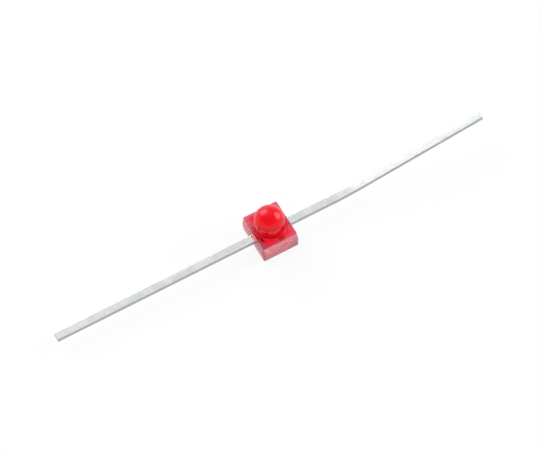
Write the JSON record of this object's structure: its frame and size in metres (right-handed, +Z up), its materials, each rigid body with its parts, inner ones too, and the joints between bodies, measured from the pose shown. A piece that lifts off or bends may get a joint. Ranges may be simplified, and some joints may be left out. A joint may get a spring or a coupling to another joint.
{
  "type": "through hole led",
  "caption": "Subminiature through hole LED: a drafted square red epoxy base with a bullet lens, cast round two flat strap leads that leave opposite faces, one of them bent up slightly.",
  "frame": {"origin": "middle of the flat underside of the epoxy base", "axes": "+X along the leads towards the anode lead, +Y across the leads away from the support tab, +Z up through the lens"},
  "size_m": [0.025, 0.0024, 0.0024],
  "materials": {
    "red_epoxy": "tinted clear epoxy as moulded, glossy on the lens and fine grained on the drafted sides",
    "plated_strap": "satin tin plate over a copper alloy, with faint rolling marks",
    "chip": "sawn sides with a bright metal contact on top",
    "silver_epoxy": "dull silver filled paste, cured",
    "gold_wire": "bright drawn gold"
  },
  "bodies": {
    "root": {"lens_body": "red_epoxy", "cathode_lead": "plated_strap", "anode_lead": "plated_strap", "led_die": "chip", "die_attach": "silver_epoxy", "bond_wire": "gold_wire"}
  },
  "joints": []
}
